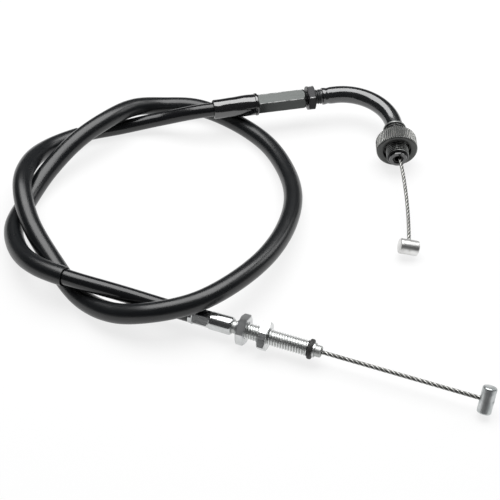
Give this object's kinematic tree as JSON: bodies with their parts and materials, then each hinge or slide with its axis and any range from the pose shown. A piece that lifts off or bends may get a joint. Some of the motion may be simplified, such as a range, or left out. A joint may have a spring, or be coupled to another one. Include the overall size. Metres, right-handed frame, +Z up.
{
  "type": "throttle cable",
  "caption": "Coiled throttle cable with a sleeved casing, a hex adjuster and elbow with knurled lock ring at the grip end and a threaded adjuster with nuts at the carburettor end.",
  "frame": {"origin": "centre of the bounding box, on the surface the cable lies on", "axes": "+Z up; X runs from the coil towards the two nipples; Y runs from the carburettor end towards the grip end"},
  "size_m": [0.1789, 0.1695, 0.0183],
  "materials": {
    "sleeve_vinyl": "satin black plastic sleeve",
    "jacket_vinyl": "satin black plastic jacket",
    "winding_steel": "plain steel",
    "liner_plastic": "natural white",
    "wire_steel": "twisted steel strand",
    "boot_rubber": "glossy black",
    "cap_steel": "zinc plated",
    "barrel_black": "satin black",
    "nut_black": "satin black",
    "pipe_black": "gloss black",
    "elbow_plastic": "natural white",
    "bush_black": "satin black",
    "ring_black": "satin dark grey",
    "adjuster_zinc": "bright zinc plate",
    "nut_zinc": "bright zinc plate",
    "washer_rubber": "matt black",
    "nipple_zinc": "bright zinc plate"
  },
  "bodies": {
    "cable": {"outer_sleeve": "sleeve_vinyl", "casing_jacket": "jacket_vinyl", "casing_winding": "winding_steel", "casing_liner": "liner_plastic", "inner_wire": "wire_steel", "casing_cap": "cap_steel", "rubber_boot": "boot_rubber", "threaded_adjuster": "adjuster_zinc", "rubber_washer": "washer_rubber"},
    "barrel": {"adjuster_barrel": "barrel_black"},
    "elbow": {"elbow_pipe": "pipe_black", "elbow_liner": "elbow_plastic", "elbow_wire": "wire_steel"},
    "locknut": {"barrel_locknut": "nut_black"},
    "bush": {"swivel_bush": "bush_black"},
    "ring": {"knurled_ring": "ring_black"},
    "grip_end": {"grip_wire": "wire_steel", "grip_nipple": "nipple_zinc"},
    "carburettor_end": {"carburettor_wire": "wire_steel", "carburettor_nipple": "nipple_zinc"},
    "inner_nut": {"inner_bracket_nut": "nut_zinc"},
    "outer_nut": {"outer_bracket_nut": "nut_zinc"}
  },
  "joints": [
    {"name": "barrel_turn", "type": "hinge", "parent": "cable", "child": "barrel", "pos_m": [0.00981, 0.07289, 0.01263], "axis": [0.9801, 0.1986, -0.0038], "range_deg": [0, 2880]},
    {"name": "elbow_travel", "type": "slide", "parent": "cable", "child": "elbow", "axis": [0.9801, 0.1986, -0.0038], "range_m": [0, 0.008]},
    {"name": "locknut_travel", "type": "slide", "parent": "elbow", "child": "locknut", "axis": [0.9801, 0.1986, -0.0038], "range_m": [-0.0006, 0.0025]},
    {"name": "bush_turn", "type": "hinge", "parent": "elbow", "child": "bush", "pos_m": [0.0675, 0.04126, 0.00863], "axis": [-0.0022, -0.9962, -0.0867], "continuous": true},
    {"name": "ring_travel", "type": "slide", "parent": "bush", "child": "ring", "axis": [-0.0022, -0.9962, -0.0867], "range_m": [-0.004, 0.0035]},
    {"name": "grip_wire_travel", "type": "slide", "parent": "elbow", "child": "grip_end", "axis": [-0.0022, -0.9962, -0.0867], "range_m": [0, 0.02]},
    {"name": "carburettor_wire_travel", "type": "slide", "parent": "cable", "child": "carburettor_end", "axis": [0.9346, -0.3558, 0], "range_m": [-0.02, 0]},
    {"name": "inner_nut_travel", "type": "slide", "parent": "cable", "child": "inner_nut", "axis": [0.9346, -0.3558, 0], "range_m": [-0.0005, 0.0022]},
    {"name": "outer_nut_travel", "type": "slide", "parent": "cable", "child": "outer_nut", "axis": [0.9346, -0.3558, 0], "range_m": [-0.0022, 0.014]}
  ],
  "couplings": [
    {"joint": "barrel_turn", "follows": "elbow_travel", "rad_per_m": 6283.2},
    {"joint": "carburettor_wire_travel", "follows": "grip_wire_travel", "ratio": -1}
  ]
}
